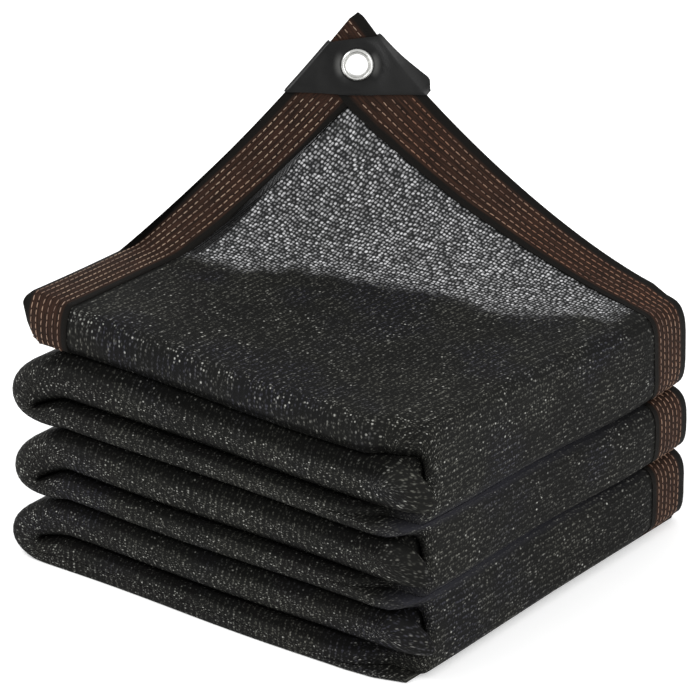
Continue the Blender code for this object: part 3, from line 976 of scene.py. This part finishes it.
def end_line(row, face):
    u = row - END_OUT
    ring = leg_ring(0, u)
    near = ring[2] + ring[1][face]
    line = []
    for v in reversed(stations(near, SEAM, 3.0)):
        pair = lifted(ring[0](v), *exposures(ring, 0, [u], v))
        outward = (pair[0] - pair[1]).normalized() * (1 if face == 0 else -1)
        if covered(u, v) or (face == 1 and raised(u, v)[0] < 0.06):
            continue
        line.append((pair[face], outward))
    if face == 0:
        line += taped_cap(ring, 24)[1:-1]
    return [line] if len(line) > 1 else []


def on_top(number, y):
    return number >= len(side_firsts) or not covered(side_firsts[number], y)


def below_top(number, y):
    return on_top(number, y) and raised(side_firsts[number], y)[0] > 0.06


def under_corner(number, y):
    """The ply below the drawn-up corner, where the top ply is clear of it."""
    return ring_x(number) < LEFT_TURN or raised(ring_x(number), y)[0] > 0.08


def ring_x(number):
    return side_rings[number][0](300)[1].x


def stitch_runs():
    tops = len(side_firsts)
    starts = [tops + k * (TURN_STEPS + LEG_STEPS) for k in range(len(TURNS))]
    last = TURN_STEPS - 2
    for index, row in enumerate(ROWS):
        for run in side_line(row, 0, 0, tops + last - 1, on_top):
            yield run, index
        for run in side_line(row, 1, 0, tops, below_top):
            yield run, index + 1
        for number, turn in enumerate(TURNS):
            if number and turn is not POCKET and turn is not NOSE:
                face = 0 if turn[0] > 0 else 1
                first, keep = starts[number] + 1, on_top
                if number == TURNS.index(BULGE):
                    first, keep = starts[number] - LEG_STEPS, under_corner
                for run in side_line(row, face, first, starts[number] + last, keep):
                    yield run, index
        for run in end_line(row, 0) + end_line(row, 1):
            yield run, index


def stitches_object():
    rng = random.Random(7)
    verts, faces = [], []
    for run, index in stitch_runs():
        for point, ahead, outward in resampled(run, STITCH_PITCH, 2.5 + (index % 2) * 1.6):
            if point.z < STITCH_HALF:
                continue
            aside = ahead.cross(outward).normalized()
            outward = aside.cross(ahead).normalized()
            ahead = (ahead + aside * rng.uniform(-0.07, 0.07)).normalized()
            half = STITCH_HALF * rng.uniform(0.86, 1.08)
            wide = THREAD * rng.uniform(0.88, 1.1)
            base = len(verts)
            verts.append(point - ahead * half - outward * 0.25)
            for share, size in ((-0.7, 0.72), (0.0, 1.0), (0.7, 0.72)):
                for k in range(6):
                    turn = math.pi * k / 3
                    offset = (aside * math.cos(turn) + outward * math.sin(turn) * 0.8) * wide * size
                    verts.append(point + ahead * half * share + outward * 0.22 * size + offset)
            verts.append(point + ahead * half - outward * 0.25)
            for k in range(6):
                j = (k + 1) % 6
                faces.append((base, base + 1 + j, base + 1 + k))
                for ring in (base + 1, base + 7):
                    faces.append((ring + k, ring + j, ring + 6 + j, ring + 6 + k))
                faces.append((base + 13 + k, base + 13 + j, base + 19))
    obj = new_piece("tape_stitches", verts, faces, thread_material())
    obj.data.shade_smooth()
    print("stitches", len(verts) // 20)
    return obj


tape_stitches = stitches_object()

# %% [markdown]
# ## The vinyl corner patch
# A piece of black vinyl folded round the corner and pressed flat, so that it is a sleeve with two folded
# edges. It crosses the corner from 16 to 47 mm below the tip. It could be a plane, folded and given its
# thickness by Solidify, but it has to follow the corner's curve, so its rows are laid on the same folds as
# the cloth. The eyelet pinches it: it dips at the ring. A highlight is painted on it to the left and right of
# the ring, and a painted shadow darkens it round the ring's edge.

# %% Patch sizes
PATCH_THICK, PATCH_CLEAR = 1.2, 0.8
PATCH_FROM, PATCH_TO = (22.5, 23.0), (76.0, 60.0)
EYELET_AT = (24.4, 18.9)
HOLE_RADIUS = 8.6
eye_u, eye_v = EYELET_AT[0] - END_OUT, STACK_DEPTH - EYELET_AT[1]
eye_pair = top_pair(eye_u, eye_v)
eye_middle = (eye_pair[0] + eye_pair[1]) / 2
eye_axis = top_normal(eye_u, eye_v)
print("eyelet at", [round(v, 1) for v in eye_middle], "mm before centring")

# %% Vinyl material
VINYL_DARK = (0.0024, 0.0024, 0.0024, 1)
VINYL_LIGHT = (0.006, 0.006, 0.0058, 1)
PINCH_HIGHLIGHT = (0.075, 0.075, 0.072, 1)
RIM_SHADOW = (0.0008, 0.0008, 0.0008, 1)


def vinyl_material():
    material, tree, shader = new_material("black_vinyl")
    place = own_place(tree)
    grain, _ = cells(tree, scaled(tree, place, (900, 900, 900)), 1.0)
    haze = clouds(tree, place, 45.0, 4.0, 0.6)
    colour = blend(tree, spread(tree, haze, 0.3, 0.7), VINYL_DARK, VINYL_LIGHT)
    to_ring = new_node(tree, "VectorMath", {0: place, 1: (eye_middle - CENTRE) * MM})
    to_ring.operation = "DISTANCE"
    aside = new_node(tree, "VectorMath", {0: place, 1: right})
    aside.operation = "DOT_PRODUCT"
    off_middle = calc(tree, "SUBTRACT", aside.outputs["Value"], (eye_middle - CENTRE).dot(right) * MM)
    sideways = calc(tree, "DIVIDE", calc(tree, "ABSOLUTE", off_middle), to_ring.outputs["Value"])
    # painted highlight: the vinyl is lighter beside the ring, to its left and right
    ring_side_highlight = spread(tree, to_ring.outputs["Value"], 0.0122, 0.018, 1.0, 0.0)
    ring_side_highlight = calc(tree, "MULTIPLY", ring_side_highlight, spread(tree, sideways, 0.72, 0.97))
    colour = blend(tree, ring_side_highlight, colour, PINCH_HIGHLIGHT)
    # painted shadow: a very dark ring in the vinyl round the eyelet's edge
    rim = spread(tree, to_ring.outputs["Value"], 0.0116, 0.0132, 1.0, 0.0)
    colour = blend(tree, rim, colour, RIM_SHADOW)
    put(tree, shader.inputs["Base Color"], colour)
    put(tree, shader.inputs["Roughness"], spread(tree, haze, 0.3, 0.7, 0.24, 0.42))
    shader.inputs["Specular IOR Level"].default_value = 0.2
    bump(tree, shader, grain, 0.12, 0.0002)
    return material


# %% Patch
def patch_object():
    shares = [-1.0, -0.97, -0.9, -0.8, -0.7, -0.6, -0.5, -0.4, -0.3, -0.2, -0.1, 0.0]
    shares += [-s for s in shares[-2::-1]]
    rows = 30
    outer_rows, inner_rows = [], []
    for row in range(rows + 1):
        reach = [a + (b - a) * row / rows for a, b in zip(PATCH_FROM, PATCH_TO)]
        right_out = 8.2 * min(row / rows / 0.85, 1) ** 1.25 - 6.0 * smooth(0.88, 1.0, row / rows)
        end_thin = 0.45 * (1 - smooth(0, 1.5, min(row, rows - row)))
        made = []
        for extra in (PATCH_CLEAR + PATCH_THICK - end_thin, PATCH_CLEAR):
            front, rear, edges = [], [], []
            for share in shares:
                du, dv = reach[0] * (1 + share) / 2, reach[1] * (1 - share) / 2
                u, v = du - END_OUT, STACK_DEPTH - dv
                upper, lower = round_end(*top_pair(u, v), u)
                out = top_normal(u, v)
                far = ((upper + lower) / 2 - eye_middle).length
                swell = 0.9 * math.exp(-(((far - 16.5) / 4.2) ** 2)) * (1 - abs(share) ** 4)
                swell += 0.35 * smooth(0.72, 0.93, -share) * (1 - smooth(0.95, 1.0, -share))
                front.append(upper + out * (extra + swell))
                rear.append(lower - out * (extra + swell))
                if abs(share) == 1.0:
                    inside = top_pair(u + (1 if share < 0 else 0), v - (1 if share > 0 else 0))
                    centre = (upper + lower) / 2
                    outward = centre - (inside[0] + inside[1]) / 2
                    outward -= outward.dot(out) * out
                    edge = outward.normalized() * (extra + 0.8 + right_out * (share > 0))
                    flat_share, height = (0.86, extra + 1.4) if share > 0 else (0.75, (extra + 0.9) * 0.62)
                    near = centre + edge * flat_share
                    edges.append([near + out * height, centre + edge, near - out * height])
            made.append([*front, *edges[1], *rear[::-1], *edges[0][::-1]])
        outer_rows.append(made[0])
        inner_rows.append(made[1])
    count = len(outer_rows[0])
    size = count * (rows + 1)
    places = [p for row in outer_rows + inner_rows for p in row]
    faces = []
    for row in range(rows):
        for i in range(count):
            j = (i + 1) % count
            a, b = row * count, (row + 1) * count
            faces.append((a + i, a + j, b + j, b + i))
            faces.append((size + a + i, size + b + i, size + b + j, size + a + j))
    for row in (0, rows):
        for i in range(count):
            j = (i + 1) % count
            a = row * count
            faces.append((a + i, size + a + i, size + a + j, a + j))
    return new_piece("vinyl_patch", places, faces, vinyl_material())


def hole_through(obj):
    """Cuts the eyelet's hole with a cylinder on its axis."""
    place = (eye_middle - CENTRE) * MM
    bpy.ops.mesh.primitive_cylinder_add(vertices=64, radius=HOLE_RADIUS * MM, depth=0.024, location=place)
    cutter = bpy.context.object
    cutter.rotation_mode = "QUATERNION"
    cutter.rotation_quaternion = eye_axis.to_track_quat("Z", "Y")
    modifier = obj.modifiers.new("eyelet_hole", "BOOLEAN")
    modifier.object = cutter
    modifier.operation = "DIFFERENCE"
    bpy.ops.object.select_all(action="DESELECT")
    obj.select_set(True)
    bpy.context.view_layer.objects.active = obj
    bpy.ops.object.modifier_apply(modifier=modifier.name)
    bpy.data.objects.remove(cutter, do_unlink=True)


vinyl_patch = patch_object()
hole_through(vinyl_patch)
hole_through(side_tape)
bpy.ops.object.select_all(action="DESELECT")
for piece in (vinyl_patch, side_tape):
    piece.select_set(True)
bpy.context.view_layer.objects.active = vinyl_patch
bpy.ops.object.shade_smooth_by_angle(angle=math.radians(40))
bpy.ops.object.select_all(action="DESELECT")
print("patch", len(vinyl_patch.data.vertices))

# %% [markdown]
# ## The eyelet
# A nickel-plated eyelet: a barrel rolled over at the front into a rounded flange, with a groove inside the
# roll and a washer at the back. A torus and a tube could be joined, but one section drawn at the axis and
# spun into a ring gives the roll, the groove and the washer together.

# %% Nickel material
def nickel_material():
    material, tree, shader = new_material("nickel")
    place = own_place(tree)
    wear = clouds(tree, place, 260.0, 3.0)
    colour = blend(tree, spread(tree, wear, 0.3, 0.7), (0.56, 0.56, 0.54, 1), (0.66, 0.66, 0.64, 1))
    put(tree, shader.inputs["Base Color"], colour)
    put(tree, shader.inputs["Roughness"], spread(tree, wear, 0.3, 0.7, 0.2, 0.28))
    shader.inputs["Metallic"].default_value = 1.0
    return material


# %% Eyelet
def eyelet_object():
    bore, flange, barrel = 7.2, 11.4, 8.1
    face = SHEET / 2 + PATCH_CLEAR + PATCH_THICK + 0.7
    profile = [(bore, -face), (bore, face + 0.7), (bore + 0.25, face + 1.3), (bore + 0.7, face + 1.4)]
    profile += [(bore + 1.0, face + 0.9), (bore + 1.4, face + 0.95), (bore + 1.8, face + 1.8)]
    profile += [(bore + 2.4, face + 2.1), (flange - 1.1, face + 1.9), (flange - 0.4, face + 1.2)]
    profile += [(flange, face + 0.45), (flange - 0.3, face), (barrel, face), (barrel, -face)]
    profile += [(flange - 0.3, -face), (flange, -face - 0.45), (flange - 1.0, -face - 0.95)]
    profile += [(bore + 1.2, -face - 1.1), (bore + 0.3, -face - 0.7)]
    mesh = bpy.data.meshes.new("metal_eyelet")
    corners = [(radius * MM, 0, height * MM) for radius, height in profile]
    mesh.from_pydata(corners, [(i, (i + 1) % len(corners)) for i in range(len(corners))], [])
    obj = bpy.data.objects.new("metal_eyelet", mesh)
    scene.collection.objects.link(obj)
    obj.select_set(True)
    bpy.context.view_layer.objects.active = obj
    bpy.ops.object.mode_set(mode="EDIT")
    bpy.ops.mesh.select_all(action="SELECT")
    bpy.ops.mesh.spin(steps=72, angle=2 * math.pi, center=(0, 0, 0), axis=(0, 0, 1))
    bpy.ops.mesh.select_all(action="SELECT")
    bpy.ops.mesh.remove_doubles(threshold=1e-6)
    bpy.ops.mesh.normals_make_consistent(inside=False)
    bpy.ops.object.mode_set(mode="OBJECT")
    turn = eye_axis.to_track_quat("Z", "Y").to_matrix().to_4x4()
    mesh.transform(Matrix.Translation((eye_middle - CENTRE) * MM) @ turn)
    bpy.ops.object.shade_smooth_by_angle(angle=math.radians(50))
    bpy.ops.object.select_all(action="DESELECT")
    mesh.materials.append(nickel_material())
    return obj


metal_eyelet = eyelet_object()

# %% [markdown]
# ## Hand over
# Each piece replaces the solid that it refines and rides on the one body.

# %% Hand over
PIECES = [
    (net_cloth, ("cloth_top", "cloth_folds"), "cloth"),
    (side_tape, ("side_band",), "band"),
    (end_tape, ("end_band",), "band"),
    (vinyl_patch, ("corner_patch",), "patch"),
    (metal_eyelet, ("eyelet",), "eyelet"),
]
for piece, nodes, slot_name in PIECES:
    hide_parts(*nodes)
    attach(piece, "root")
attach(tape_stitches, "root")

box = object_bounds()
for side in range(3):
    sizes = [round(one[1][side] - one[0][side], 4) for one in (cad_box, box)]
    print("side", side, "CAD", sizes[0], "scene", sizes[1])
